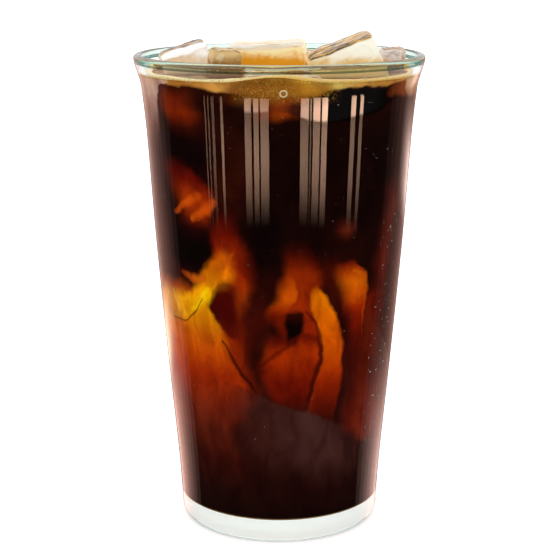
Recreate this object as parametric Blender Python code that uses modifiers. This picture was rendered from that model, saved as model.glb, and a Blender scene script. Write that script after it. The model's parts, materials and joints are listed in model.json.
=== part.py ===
"""Iced black coffee in a tapered pint tumbler, with ice cubes that float at the surface.

Run with: blender --background --python part.py
Metres, +Z up. The origin is the middle of the ring that the tumbler stands on.
"""

import math

import bmesh
import bpy
from mathutils import Euler, Vector, noise

MM = 0.001

# The tumbler's outer side, as (radius, height) from the heel up to where the lip begins to flare.
GLASS_HEIGHT = 148.0 * MM
WALL_OUTLINE = [
    (31.4 * MM, 3.9 * MM),
    (32.5 * MM, 20.0 * MM),
    (35.3 * MM, 50.0 * MM),
    (38.7 * MM, 90.0 * MM),
    (41.0 * MM, 124.0 * MM),
    (42.5 * MM, 138.5 * MM),
]
WALL_POINTS_BETWEEN = 3
HEEL_FLAT_RADIUS = 28.9 * MM
UNDERSIDE_RING_WIDTH = 5.0 * MM
UNDERSIDE_RISE = 1.4 * MM
UNDERSIDE_SLOPE = [(2.0, 0.75), (5.0, 1.0)]  # inwards and upwards from the ring, as shares of the rise

# The lip: the side flares outwards and ends in a round bead.
FLARE_OUT = 1.25 * MM
LIP_THICKNESS = 2.5 * MM
WALL_THICKNESS = 2.5 * MM
THICKENING_AT_FLOOR = 0.9 * MM
THICKENING_SHARE = 0.35  # of the height, below which the wall thickens
FLOOR_HEIGHT = 6.7 * MM
FLOOR_CORNER = 2.6 * MM
HEEL_RING_HEIGHT = 6.0 * MM

# The drink: its level, the rim of liquid that climbs the wall, and the swell over the front ice cube.
COFFEE_LEVEL = 142.0 * MM
MENISCUS_RISE = 0.9 * MM
MENISCUS_REACH = 1.2 * MM
SWELL_RISE = 1.9 * MM
SWELL_CENTRE = (-1.0 * MM, -39.5 * MM)
SWELL_REACH = (10.5 * MM, 9.0 * MM)
TOP_RINGS = 8
SIDE_RINGS = 7
LIP_RINGS = 5
CLEARANCE = 0.3 * MM

TURN_STEPS = 56

# Ice: rounded blocks, each as name: (centre in mm, half sizes in mm, turns about X, Y and Z in degrees).
ICE_BLOCKS = {
    "ice_left": ((-27.4, 4.5, 140.0), (7.6, 8.8, 9.8), (5, -18, 6)),
    "ice_chip": ((-16.7, -9.5, 142.6), (4.5, 4.4, 7.4), (4, 3, 14)),
    "ice_middle": ((-3.6, 6.5, 140.0), (12.2, 9.6, 10.6), (3, -3, -4)),
    "ice_right": ((21.3, -7.0, 141.7), (10.6, 8.4, 10.4), (4, -21, 3)),
    "ice_edge": ((35.4, 6.0, 143.6), (3.6, 3.5, 5.6), (2, -5, 8)),
    "ice_front": ((0.5, -27.3, 133.4), (11.5, 9.4, 10.8), (-3, 2, 3)),
    "ice_back_right": ((14.0, 24.6, 135.8), (10.6, 8.6, 9.6), (6, 5, -22)),
    "ice_back_left": ((-13.2, 26.2, 134.8), (10.2, 8.2, 9.8), (-5, -4, 22)),
}
ICE_SQUARENESS = 12.0
ICE_CUTS = 5
ICE_MELT = 0.45 * MM
ICE_MELT_WAVES = 2.3


def clear_scene():
    for obj in list(bpy.data.objects):
        bpy.data.objects.remove(obj)


def new_collection(name):
    collection = bpy.data.collections.new(name)
    bpy.context.scene.collection.children.link(collection)
    return collection


def new_material(name, colour, roughness, transmission=0.0, ior=1.45):
    material = bpy.data.materials.new(name)
    material.use_nodes = True
    shader = material.node_tree.nodes["Principled BSDF"]
    shader.inputs["Base Color"].default_value = (*colour, 1.0)
    shader.inputs["Metallic"].default_value = 0.0
    shader.inputs["Roughness"].default_value = roughness
    shader.inputs["Transmission Weight"].default_value = transmission
    shader.inputs["IOR"].default_value = ior
    return material


def smooth_line(points, between):
    """A smooth line through the points, with this many extra points on each stretch."""
    ends = [points[0], *points, points[-1]]
    line = []
    for i in range(1, len(ends) - 2):
        before, start, end, after = (Vector(p) for p in ends[i - 1 : i + 3])
        for k in range(between + 1):
            t = k / (between + 1)
            line.append(
                0.5
                * (
                    2 * start
                    + (end - before) * t
                    + (2 * before - 5 * start + 4 * end - after) * t * t
                    + (3 * start - before - 3 * end + after) * t**3
                )
            )
    line.append(Vector(points[-1]))
    return [(p.x, p.y) for p in line]


def quarter_arc(start, end, steps, leaves_upright):
    """A quarter of an ellipse from start to end, leaving start upright or level. Both ends are in it."""
    points = []
    for k in range(steps + 1):
        angle = math.pi / 2 * k / steps
        along, across = math.sin(angle), 1 - math.cos(angle)
        share_r, share_z = (across, along) if leaves_upright else (along, across)
        points.append(
            (
                start[0] + (end[0] - start[0]) * share_r,
                start[1] + (end[1] - start[1]) * share_z,
            )
        )
    return points


WALL_LINE = smooth_line(WALL_OUTLINE, WALL_POINTS_BETWEEN)


def outer_radius(height):
    """The tumbler's outer radius at a height, the flare of its lip included."""
    base = WALL_LINE[0][0]
    for (r0, z0), (r1, z1) in zip(WALL_LINE, WALL_LINE[1:]):
        if height >= z0:
            base = r0 + (r1 - r0) * (height - z0) / (z1 - z0)
    flare_start = WALL_OUTLINE[-1][1]
    flare_end = GLASS_HEIGHT - LIP_THICKNESS / 2
    share = min(max((height - flare_start) / (flare_end - flare_start), 0.0), 1.0)
    return base + FLARE_OUT * share * share * (3 - 2 * share)


def wall_thickness(height):
    """The wall is thicker near the floor."""
    share = min(max(height / (THICKENING_SHARE * GLASS_HEIGHT), 0.0), 1.0)
    return WALL_THICKNESS + THICKENING_AT_FLOOR * (1 - share) ** 2


def inner_radius(height):
    return outer_radius(height) - wall_thickness(height)


def heights_between(low, high, count):
    return [low + (high - low) * k / (count - 1) for k in range(count)]


def ring_heights():
    """The heights of the wall's rings above the floor's corner. The drink uses them too, to fit."""
    flare_start = WALL_OUTLINE[-1][1]
    heights = heights_between(FLOOR_HEIGHT + FLOOR_CORNER, flare_start, SIDE_RINGS)
    return heights + heights_between(
        flare_start, GLASS_HEIGHT - LIP_THICKNESS / 2, LIP_RINGS
    )[1:]


def glass_profile():
    """From the middle of the floor, up the inner side and over the lip, to the middle of the underside."""
    corner_top = FLOOR_HEIGHT + FLOOR_CORNER
    lip_base = GLASS_HEIGHT - LIP_THICKNESS / 2
    corner_radius = inner_radius(corner_top)
    floor = [(0.0, FLOOR_HEIGHT)]
    floor += quarter_arc(
        (corner_radius - FLOOR_CORNER, FLOOR_HEIGHT),
        (corner_radius, corner_top),
        4,
        leaves_upright=False,
    )
    heights = ring_heights()[1:]
    inner_side = [(inner_radius(z), z) for z in heights]
    middle = outer_radius(lip_base) - LIP_THICKNESS / 2
    lip = [
        (
            middle - math.cos(math.pi * k / 8) * LIP_THICKNESS / 2,
            lip_base + math.sin(math.pi * k / 8) * LIP_THICKNESS / 2,
        )
        for k in range(1, 8)
    ]
    outer_side = [(outer_radius(z), z) for z in reversed(heights)]
    heel_top = WALL_OUTLINE[0]
    lower = [(outer_radius(z), z) for z in (corner_top, HEEL_RING_HEIGHT)]
    heel = quarter_arc(heel_top, (HEEL_FLAT_RADIUS, 0.0), 5, leaves_upright=True)
    ring_inside = HEEL_FLAT_RADIUS - UNDERSIDE_RING_WIDTH
    underside = [(ring_inside, 0.0)]
    for inwards, upwards in UNDERSIDE_SLOPE:
        underside.append(
            (ring_inside - inwards * UNDERSIDE_RISE, upwards * UNDERSIDE_RISE)
        )
    underside.append((0.0, UNDERSIDE_RISE))
    return floor + inner_side + lip + outer_side + lower + heel + underside


def turned(name, profile, collection):
    """An object turned round Z from a profile of (radius, height), applied as a closed mesh."""
    mesh = bpy.data.meshes.new(name)
    points = [(r, 0.0, z) for r, z in profile]
    mesh.from_pydata(points, [(i, i + 1) for i in range(len(points) - 1)], [])
    obj = bpy.data.objects.new(name, mesh)
    collection.objects.link(obj)
    screw = obj.modifiers.new("Turn", "SCREW")
    screw.steps = screw.render_steps = TURN_STEPS
    screw.use_merge_vertices = True
    screw.merge_threshold = 0.00005
    screw.use_smooth_shade = True
    graph = bpy.context.evaluated_depsgraph_get()
    made = bpy.data.meshes.new_from_object(obj.evaluated_get(graph))
    obj.modifiers.clear()
    obj.data = made
    bpy.data.meshes.remove(mesh)
    made.name = name
    return obj


def swell(x, y):
    """How far the surface is lifted over the front ice cube."""
    across = (x - SWELL_CENTRE[0]) / SWELL_REACH[0]
    along = (y - SWELL_CENTRE[1]) / SWELL_REACH[1]
    return SWELL_RISE * math.exp(-(across**2) - along**2)


def coffee_profile():
    """From the middle of the surface out to the wall, then down to the middle of the floor."""
    edge = inner_radius(COFFEE_LEVEL + MENISCUS_RISE) - CLEARANCE
    surface = []
    for k in range(TOP_RINGS):
        radius = edge * math.sin(math.pi / 2 * k / (TOP_RINGS - 1))
        climb = MENISCUS_RISE * math.exp(-(edge - radius) / MENISCUS_REACH)
        surface.append((radius, COFFEE_LEVEL + climb))
    corner_top = FLOOR_HEIGHT + FLOOR_CORNER
    below = [z for z in ring_heights() if z < COFFEE_LEVEL - MENISCUS_RISE]
    side = [
        (inner_radius(z) - CLEARANCE, z) for z in [COFFEE_LEVEL, *reversed(below)]
    ]
    foot_radius = inner_radius(corner_top) - CLEARANCE
    floor = FLOOR_HEIGHT + CLEARANCE
    foot = quarter_arc(
        (foot_radius, corner_top),
        (foot_radius - FLOOR_CORNER, floor),
        4,
        leaves_upright=True,
    )[1:]
    return surface + side + foot + [(0.0, floor)]


def make_coffee(collection):
    coffee = turned("coffee", coffee_profile(), collection)
    for vertex in coffee.data.vertices:
        if vertex.co.z >= COFFEE_LEVEL - 0.01 * MM:
            vertex.co.z += swell(vertex.co.x, vertex.co.y)
    return coffee


def make_ice(name, centre, half_sizes, turns, collection, grow=0.0):
    """A rounded, slightly melted block. grow adds to each half size, for the cutter that makes its hollow."""
    half = [size * MM + grow for size in half_sizes]
    mesh = bpy.data.meshes.new(name)
    shape = bmesh.new()
    bmesh.ops.create_cube(shape, size=2.0)
    bmesh.ops.subdivide_edges(
        shape, edges=shape.edges[:], cuts=ICE_CUTS, use_grid_fill=True
    )
    offset = Vector(centre)
    for vertex in shape.verts:
        # Spacing the grid by tangents keeps its squares even once the corners are rounded.
        way = Vector(math.tan(c * math.pi / 4) for c in vertex.co)
        size = sum(abs(c) ** ICE_SQUARENESS for c in way) ** (1 / ICE_SQUARENESS)
        unit = way / size
        melt = noise.noise(unit * ICE_MELT_WAVES + offset) * ICE_MELT
        vertex.co = Vector(c * (h + melt) for c, h in zip(unit, half))
    # The same triangles in a block and in its cutter keep the gap between them even.
    bmesh.ops.triangulate(shape, faces=shape.faces[:], quad_method="FIXED")
    bmesh.ops.recalc_face_normals(shape, faces=shape.faces[:])
    shape.to_mesh(mesh)
    shape.free()
    mesh.shade_smooth()
    obj = bpy.data.objects.new(name, mesh)
    collection.objects.link(obj)
    obj.location = offset * MM
    obj.rotation_euler = Euler([math.radians(a) for a in turns])
    return obj


def cut_hollows(coffee, cutters):
    """Each cutter leaves a hollow in the drink that its ice cube floats in."""
    for name, (centre, half_sizes, turns) in ICE_BLOCKS.items():
        cutter = make_ice(
            name + "_cutter", centre, half_sizes, turns, cutters, CLEARANCE
        )
        cutter.hide_render = True
        cutter.display_type = "WIRE"
    cut = coffee.modifiers.new("Ice hollows", "BOOLEAN")
    cut.operation = "DIFFERENCE"
    cut.solver = "EXACT"
    cut.operand_type = "COLLECTION"
    cut.collection = cutters


def main():
    clear_scene()
    drink = new_collection("iced_americano")
    cutters = new_collection("cutters")
    clear_glass = new_material("clear glass", (0.93, 0.98, 0.96), 0.02, 1.0, 1.5)
    black_coffee = new_material("black coffee", (0.05, 0.012, 0.005), 0.08, 0.0, 1.33)
    clear_ice = new_material("clear ice", (0.97, 0.96, 0.93), 0.06, 1.0, 1.31)

    glass = turned("glass", glass_profile(), drink)
    glass.data.materials.append(clear_glass)
    coffee = make_coffee(drink)
    coffee.data.materials.append(black_coffee)
    for name, (centre, half_sizes, turns) in ICE_BLOCKS.items():
        block = make_ice(name, centre, half_sizes, turns, drink)
        block.data.materials.append(clear_ice)
    cut_hollows(coffee, cutters)


main()
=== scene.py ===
import math
import bmesh
import bpy
from mathutils import Euler, Matrix, Vector, noise
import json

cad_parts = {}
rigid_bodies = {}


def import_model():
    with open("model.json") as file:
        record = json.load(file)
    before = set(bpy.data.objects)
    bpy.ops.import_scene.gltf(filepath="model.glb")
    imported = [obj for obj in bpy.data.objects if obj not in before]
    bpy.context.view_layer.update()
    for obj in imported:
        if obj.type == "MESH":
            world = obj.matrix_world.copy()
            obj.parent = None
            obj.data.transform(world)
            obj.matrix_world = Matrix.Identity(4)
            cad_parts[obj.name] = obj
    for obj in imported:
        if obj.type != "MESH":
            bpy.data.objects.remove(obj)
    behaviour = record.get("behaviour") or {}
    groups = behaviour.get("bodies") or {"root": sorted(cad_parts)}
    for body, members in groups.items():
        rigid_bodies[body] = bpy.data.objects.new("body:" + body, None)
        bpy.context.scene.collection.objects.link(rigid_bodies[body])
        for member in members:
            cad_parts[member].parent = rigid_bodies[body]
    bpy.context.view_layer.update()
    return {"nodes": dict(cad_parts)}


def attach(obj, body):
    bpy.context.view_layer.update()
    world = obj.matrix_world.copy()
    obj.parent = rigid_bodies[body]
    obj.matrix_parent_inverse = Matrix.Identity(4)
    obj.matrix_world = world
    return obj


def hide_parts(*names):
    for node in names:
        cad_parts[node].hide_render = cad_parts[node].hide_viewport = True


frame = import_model()
mm = 0.001
print("frame loaded:", len(frame["nodes"]), "nodes")


# ---- node helpers: a Wire is a socket that takes part in sums, a Web makes the nodes of one tree

def sumOf(operation):  # a method that puts a maths node behind two values
    return lambda first, second: first.web.maths(operation, first, second)


class Wire:
    def __init__(self, web, socket):
        self.web, self.socket = web, socket

    def pick(self, name):  # another output of the same node
        return Wire(self.web, self.socket.node.outputs[name])

    __add__ = __radd__ = sumOf("ADD")
    __mul__ = __rmul__ = sumOf("MULTIPLY")
    __sub__, __truediv__ = sumOf("SUBTRACT"), sumOf("DIVIDE")

    def __rsub__(self, other):
        return self.web.maths("SUBTRACT", other, self)


class Web:
    def __init__(self, tree):
        self.tree = tree
        tree.nodes.clear()

    def node(self, kind, inputs=None, out=0, **settings):
        made = self.tree.nodes.new(kind)
        for name, value in settings.items():
            if name == "stops":
                setStops(made.color_ramp, value)
            elif name == "points":
                setPoints(made.mapping, value)
            else:
                setattr(made, name, value)
        for name, value in (inputs or {}).items():
            socket = made.inputs[name]
            if isinstance(value, Wire):
                self.tree.links.new(value.socket, socket)
            elif socket.type == "RGBA":
                socket.default_value = (*value[:3], 1.0)
            else:
                socket.default_value = value
        return Wire(self, made.outputs[out] if len(made.outputs) else None)

    def maths(self, operation, first, second=0.0, third=0.0):
        return self.node("ShaderNodeMath", {0: first, 1: second, 2: third}, operation=operation)

    def vector(self, operation, first, second=(0, 0, 0)):
        out = 1 if operation == "DOT_PRODUCT" else 0
        return self.node("ShaderNodeVectorMath", {0: first, 1: second}, out, operation=operation)

    def scaled(self, vector, size):
        return self.node("ShaderNodeVectorMath", {0: vector, "Scale": size}, operation="SCALE")

    def mix(self, share, low, high, way="MIX"):
        ends = {0: share, 6: low, 7: high}
        return self.node("ShaderNodeMix", ends, out=2, data_type="RGBA", blend_type=way)

    def fade(self, value, start, end, low=0.0, high=1.0):
        ends = {"Value": value, "From Min": start, "From Max": end, "To Min": low, "To Max": high}
        return self.node("ShaderNodeMapRange", ends, interpolation_type="SMOOTHSTEP")

    def noise(self, place, scale, detail=2.0, roughness=0.5, distortion=0.0):
        inputs = {"Vector": place, "Scale": scale, "Detail": detail, "Roughness": roughness}
        inputs["Distortion"] = distortion
        return self.node("ShaderNodeTexNoise", inputs)

    def place(self):  # Object coordinates, in millimetres
        return self.scaled(self.node("ShaderNodeTexCoord", out=3), 1000.0)

    def parts(self, vector):
        return self.node("ShaderNodeSeparateXYZ", {0: vector})

    def bump(self, strength, distance, height):
        inputs = {"Strength": strength, "Distance": distance * mm, "Height": height}
        return self.node("ShaderNodeBump", inputs)

    def principled(self, inputs):
        return self.node("ShaderNodeBsdfPrincipled", inputs)

    # the share given off is a glow: painted light standing in for light that shines through the drink, the
    # froth and the ice
    def coat(self, paint, body, glow, inputs):  # a coat of paint that gives off a share of its own colour
        shares = {"Base Color": self.scaled(paint, body), "Emission Color": self.scaled(paint, glow)}
        return self.principled({**shares, "Emission Strength": 1.0, **inputs})


def setStops(ramp, stops):
    while len(ramp.elements) > 1:
        ramp.elements.remove(ramp.elements[-1])
    for i, (at, colour) in enumerate(stops):
        stop = ramp.elements[0] if i == 0 else ramp.elements.new(at)
        stop.position, stop.color = at, (*colour, 1.0)[:4]


def setPoints(mapping, points):
    curve = mapping.curves[0]
    while len(curve.points) < len(points):
        curve.points.new(0.5, 0.5)
    for point, (x, y) in zip(curve.points, sorted(points)):
        point.location, point.handle_type = (x, y), "AUTO_CLAMPED"
    mapping.update()


def tone(red, green, blue):  # a screen colour of 0 to 255 as linear light
    shares = (c / 255 for c in (red, green, blue))
    return tuple(s / 12.92 if s <= 0.04045 else ((s + 0.055) / 1.055) ** 2.4 for s in shares)


def newMaterial(name):
    material = bpy.data.materials.new(name)
    material.use_nodes = True
    web = Web(material.node_tree)
    web.material = material
    return web


def finished(web, shader, volume=None):
    inputs = {"Surface": shader} if volume is None else {"Surface": shader, "Volume": volume}
    web.node("ShaderNodeOutputMaterial", inputs)
    return web.material


def meshObject(name, mesh, *materials):
    piece = bpy.data.objects.new(name, mesh)
    bpy.context.scene.collection.objects.link(piece)
    for material in materials:
        mesh.materials.append(material)
    return piece


def meshFrom(shape, name):
    mesh = bpy.data.meshes.new(name)
    shape.to_mesh(mesh)
    shape.free()
    mesh.shade_smooth()
    return mesh


def evaluatedMesh(piece):  # the piece's modifiers made into a plain mesh
    graph = bpy.context.evaluated_depsgraph_get()
    made = bpy.data.meshes.new_from_object(piece.evaluated_get(graph))
    piece.modifiers.clear()
    old, piece.data = piece.data, made
    made.name = piece.name
    bpy.data.meshes.remove(old)
    return piece


def newTree(name, inputs, result):
    tree = bpy.data.node_groups.new(name, "GeometryNodeTree")
    for label, kind in inputs.items():
        tree.interface.new_socket(label, in_out="INPUT", socket_type="NodeSocket" + kind)
    tree.interface.new_socket(result, in_out="OUTPUT", socket_type="NodeSocketGeometry")
    web = Web(tree)
    return web, web.node("NodeGroupInput")


def runTree(piece, tree, values):  # the tree with these inputs, made into the piece's plain mesh
    modifier = piece.modifiers.new(tree.name, "NODES")
    modifier.node_group = tree
    for item in tree.interface.items_tree:
        if item.in_out == "INPUT" and item.name in values:
            modifier[item.identifier] = values[item.name]
    return evaluatedMesh(piece)


def facingOut(piece):
    shape = bmesh.new()
    shape.from_mesh(piece.data)
    bmesh.ops.remove_doubles(shape, verts=shape.verts[:], dist=0.004 * mm)
    bmesh.ops.recalc_face_normals(shape, faces=shape.faces[:])
    if shape.calc_volume(signed=True) < 0:
        bmesh.ops.reverse_faces(shape, faces=shape.faces[:])
    shape.to_mesh(piece.data)
    shape.free()
    piece.data.shade_smooth()
    return piece


# ---- the tumbler's measures, in millimetres, and the lines that the pieces share

tumbler = {
    "height": 148.0,
    "outline": [(31.4, 3.9), (32.5, 20.0), (35.3, 50.0), (38.7, 90.0), (41.0, 124.0), (42.5, 138.5)],
    "flareOut": 1.25,
    "lip": 2.5,
    "wall": 2.5,
    "thickerAtFloor": 0.9,
    "thickerBelow": 0.35,
    "floor": 6.7,
    "corner": 2.6,
    "aboveHeel": 5.2,
    "heelFlat": 28.9,
    "ringWidth": 5.0,
    "underRise": 1.4,
    "turnSteps": 192,
}
drink = {
    # azimuths of the parts of the side that each have a material of their own
    "sectors": [(-180, -102), (-102, -13), (-13, 24), (24, 102), (102, 180)],
    "level": 142.0,
    "climb": 0.9,
    "climbReach": 1.2,
    "swell": 1.9,
    "swellAt": (-1.0, -39.5),
    "swellReach": (10.5, 9.0),
    "intoWall": 0.1,
    "overFloor": 0.3,
    "footTurn": 76,
    "iceBite": 0.06,
    # faces this near the wall belong to the side unless they lie this flat, and so do all below this height
    "nearWall": 0.3,
    "flatFrom": 0.7,
    "sideBelow": 60,
}


def smoothLine(points, between):
    ends = [points[0], *points, points[-1]]
    line = []
    for i in range(1, len(ends) - 2):
        before, start, end, after = (Vector(p) for p in ends[i - 1:i + 3])
        for k in range(between + 1):
            t = k / (between + 1)
            bend = (2 * before - 5 * start + 4 * end - after) * t * t
            twist = (3 * start - before - 3 * end + after) * t ** 3
            line.append(0.5 * (2 * start + (end - before) * t + bend + twist))
    return [(p.x, p.y) for p in [*line, Vector(points[-1])]]


wallLine = smoothLine(tumbler["outline"], 3)
lipBase = tumbler["height"] - tumbler["lip"] / 2


def outerRadius(height):
    for (r0, z0), (r1, z1) in zip(wallLine, wallLine[1:]):
        if height >= z0 or (r0, z0) == wallLine[0]:
            base = r0 + (r1 - r0) * (height - z0) / (z1 - z0)
    flareStart = tumbler["outline"][-1][1]
    share = min(max((height - flareStart) / (lipBase - flareStart), 0.0), 1.0)
    return base + tumbler["flareOut"] * share * share * (3 - 2 * share)


def innerRadius(height):
    share = min(max(height / (tumbler["thickerBelow"] * tumbler["height"]), 0.0), 1.0)
    return outerRadius(height) - tumbler["wall"] - tumbler["thickerAtFloor"] * (1 - share) ** 2


def spread(low, high, count):
    return [low + (high - low) * k / (count - 1) for k in range(count)]


def roundAxis(azimuth, radius, height):  # a point in metres, from an angle and millimetres
    return Vector((math.sin(azimuth) * radius, -math.cos(azimuth) * radius, height)) * mm


def quarterArc(start, end, steps, leavesUpright):
    points = []
    for k in range(steps + 1):
        along, across = math.sin(math.pi / 2 * k / steps), 1 - math.cos(math.pi / 2 * k / steps)
        shareR, shareZ = (across, along) if leavesUpright else (along, across)
        points.append((start[0] + (end[0] - start[0]) * shareR, start[1] + (end[1] - start[1]) * shareZ))
    return points


# ---- a tree that turns a profile line round the upright axis

def turningTree():
    web, given = newTree("turn a profile", {
        "Profile": "Geometry", "Turn steps": "Int", "Material": "Material"}, "Turned")
    steps = given.pick("Turn steps")
    rows = web.node("GeometryNodeAttributeDomainSize", {"Geometry": given})
    grid = web.node("GeometryNodeMeshGrid", {
        "Size X": 1.0, "Size Y": 1.0, "Vertices X": steps + 1, "Vertices Y": rows})
    index = web.node("GeometryNodeInputIndex")
    column = web.maths("FLOOR", (index + 0.5) / rows)
    row = index - column * rows
    point = web.node("GeometryNodeInputPosition")
    sample = web.node("GeometryNodeSampleIndex", {"Geometry": given, "Value": point, "Index": row},
                      data_type="FLOAT_VECTOR", domain="POINT")
    turned = web.node("ShaderNodeVectorRotate", {"Vector": sample, "Angle": column * math.tau / steps},
                      rotation_type="Z_AXIS")
    moved = web.node("GeometryNodeSetPosition", {"Geometry": grid, "Position": turned})
    merged = web.node("GeometryNodeMergeByDistance", {"Geometry": moved, "Distance": 0.01 * mm})
    coated = web.node("GeometryNodeSetMaterial", {"Geometry": merged, "Material": given.pick("Material")})
    web.node("NodeGroupOutput", {"Turned": coated})
    return web.tree


def turned(name, profile, material, steps=tumbler["turnSteps"]):
    mesh = bpy.data.meshes.new(name)
    points = [(r * mm, 0.0, z * mm) for r, z in profile]
    mesh.from_pydata(points, [(i, i + 1) for i in range(len(points) - 1)], [])
    return facingOut(runTree(meshObject(name, mesh), turning, {"Turn steps": steps, "Material": material}))


turning = turningTree()


# ---- bands: soft-edged areas of the wall, given by azimuth and height

acrossPerDegree = 0.66  # millimetres along the drink's side for one degree of azimuth
farAcross, topOfScale = 130.0, 150.0  # the ends of the scales on which the bands' edges are given


def flatPlace(web, place):  # across the wall, height and 1; and azimuth and height on their own
    xyz = web.parts(place)
    height = xyz.pick("Z")
    azimuth = web.maths("ARCTAN2", xyz, 0.0 - xyz.pick("Y")) * math.degrees(1)
    flat = web.node("ShaderNodeCombineXYZ", {0: azimuth * acrossPerDegree, 1: height, 2: 1.0})
    return flat, azimuth, height


def scaleShares(web, at):
    return {"azimuth": web.vector("DOT_PRODUCT", at, (0.5 / farAcross, 0, 0.5)),
            "height": web.vector("DOT_PRODUCT", at, (0, 1 / topOfScale, 0))}


def bandMask(web, scales, along, soft, *rows):
    # scales hold azimuth and height as shares of their whole spans
    spanOf = {"azimuth": 2 * farAcross / acrossPerDegree, "height": topOfScale}
    softOf = {"azimuth": 2 * farAcross, "height": topOfScale}
    other = "height" if along == "azimuth" else "azimuth"

    def shareOf(kind, value):
        return value / spanOf[kind] + (0.5 if kind == "azimuth" else 0.0)

    first, last = (shareOf(along, end(row[0] for row in rows)) for end in (min, max))
    places = [(shareOf(along, row[0]) - first) / (last - first) for row in rows]
    share = web.maths("MULTIPLY_ADD", scales[along], 1 / (last - first), -first / (last - first))
    stops = sorted((x, (*tone(*row[3:6]), *row[6:])) for x, row in zip(places, rows))
    ramp = web.node("ShaderNodeValToRGB", {0: share}, stops=stops)
    mask = ramp.pick("Alpha")
    for column, sign in ((1, 1), (2, -1)):
        points = [(x, shareOf(other, row[column])) for x, row in zip(places, rows)]
        edge = web.node("ShaderNodeFloatCurve", {"Value": share}, points=points)
        reach = soft[column - 1] / softOf[other] * sign
        mask = mask * web.fade(scales[other] - edge, -reach, reach)
    return mask, ramp


# ---- glass

glassLooks = {
    "tint": (0.985, 1.0, 0.995),
    "roughness": 0.0,
    "bend": 1.5,
    "neckTint": (0.84, 0.865, 0.855),
    "neckFrom": 142.6,
    "rimTint": (0.66, 0.78, 0.73),
    "rimBelowMiddle": 0.6,
    # the rim's dark line is painted shade: a band of dark-tinted glass
    "rimLineTint": (0.26, 0.34, 0.31),
    "rimLineBelowMiddle": (1.0, 0.35),
    "rimLineAtTop": 0.12,
    "depthTint": (0.62, 0.90, 0.86),
    "depthDensity": 5.0,
    # the foot's glow is painted light, a white glow on matt glass
    "footPaint": (0.95, 0.97, 0.96),
    "footRoughness": 0.45,
    "footClear": 0.35,
    "footGlow": 0.52,
    "footBelow": 1.6,
    "footWithin": 26.5,
    # painted highlight: a patch of stronger clear coat, where the wall mirrors the lamps more strongly
    "shine": ("azimuth", (0.5, 0.7), (-19, 136.6, 137.2, 0, 0, 0, 0), (-16, 135, 138.6, 0, 0, 0, 0.6),
              (-10, 134.6, 139.2, 0, 0, 0, 0.5), (-3, 135, 138.8, 0, 0, 0, 0.4),
              (4, 134.4, 139.4, 0, 0, 0, 0.9), (12, 132.4, 139.6, 0, 0, 0), (21, 131.8, 139.8, 0, 0, 0),
              (30, 132.8, 141.6, 0, 0, 0), (40, 134, 142, 0, 0, 0), (48, 136, 140, 0, 0, 0, 0)),
    "shineBend": 2.4,
}


def glassMaterial(name, tint, shines=False):
    web = newMaterial(name)
    shine = 0.0
    if shines:
        shine = bandMask(web, scaleShares(web, flatPlace(web, web.place())[0]), *glassLooks["shine"])[0]
    shader = web.principled({
        "Coat Weight": shine, "Coat Roughness": 0.0, "Coat IOR": glassLooks["shineBend"],
        "Base Color": tint, "Roughness": glassLooks["roughness"],
        "IOR": glassLooks["bend"], "Transmission Weight": 1.0})
    depth = web.node("ShaderNodeVolumeAbsorption", {
        "Color": glassLooks["depthTint"], "Density": glassLooks["depthDensity"]})
    return finished(web, shader, depth)


# the foot is finely matt, and glows white with painted light
def undersideMaterial():  # finely matt, so that the foot reads white and not as a mirror of the drink
    web = newMaterial("matt foot of the glass with painted glow")
    return finished(web, web.principled({
        "Base Color": glassLooks["footPaint"], "Roughness": glassLooks["footRoughness"],
        "IOR": glassLooks["bend"], "Transmission Weight": glassLooks["footClear"],
        "Emission Color": glassLooks["footPaint"], "Emission Strength": glassLooks["footGlow"]}))


def glassProfile():
    t = tumbler
    cornerTop = t["floor"] + t["corner"]
    cornerRadius = innerRadius(cornerTop)
    line = [(r, t["floor"]) for r in (0.0, 8.0, 16.0, 24.0)]
    line += quarterArc((cornerRadius - t["corner"], t["floor"]), (cornerRadius, cornerTop), 8, False)
    heights = spread(cornerTop, t["outline"][-1][1], 44)[1:] + spread(t["outline"][-1][1], lipBase, 14)[1:]
    line += [(innerRadius(z), z) for z in heights]
    middle = outerRadius(lipBase) - t["lip"] / 2
    turns = [math.pi * k / 16 for k in range(1, 16)]
    line += [(middle - math.cos(a) * t["lip"] / 2, lipBase + math.sin(a) * t["lip"] / 2) for a in turns]
    line += [(outerRadius(z), z) for z in (*reversed(heights), cornerTop, t["floor"], t["aboveHeel"])]
    line += quarterArc(t["outline"][0], (t["heelFlat"], 0.0), 10, True)
    inside = t["heelFlat"] - t["ringWidth"]
    rise = t["underRise"]
    line += [(inside + t["ringWidth"] / 2, 0.0), (inside, 0.0), (inside - rise, 0.3 * rise)]
    line += [(inside - 2 * rise, 0.75 * rise), (inside - 5 * rise, rise), (8.0, rise), (0.0, rise)]
    return line


glass = turned("glass_tumbler", glassProfile(), glassMaterial("clear glass", glassLooks["tint"], True))
clearGlass = glass.data.materials[glass.data.polygons[0].material_index]
glass.data.materials.clear()
for material in (clearGlass, glassMaterial("neck of the glass", glassLooks["neckTint"]),
                 glassMaterial("green rim of the glass", glassLooks["rimTint"]), undersideMaterial(),
                 glassMaterial("painted dark line of the rim", glassLooks["rimLineTint"])):
    glass.data.materials.append(material)
lineLow, lineHigh = (lipBase - below for below in glassLooks["rimLineBelowMiddle"])
for face in glass.data.polygons:
    x, y, z = face.center / mm
    face.material_index = 0
    if z > tumbler["height"] - glassLooks["rimLineAtTop"] or lineLow < z < lineHigh:
        face.material_index = 4
    elif z > lipBase - glassLooks["rimBelowMiddle"]:
        face.material_index = 2
    elif z > glassLooks["neckFrom"]:
        face.material_index = 1
    elif z < glassLooks["footBelow"] and math.hypot(x, y) < glassLooks["footWithin"] and face.normal.z < -0.5:
        face.material_index = 3
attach(glass, "root")
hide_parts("glass")
print("tumbler:", len(glass.data.polygons), "faces")


# ---- the drink's side: soft swirls of colour laid on by azimuth and height, most of it painted light shining through the ice and the coffee

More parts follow.
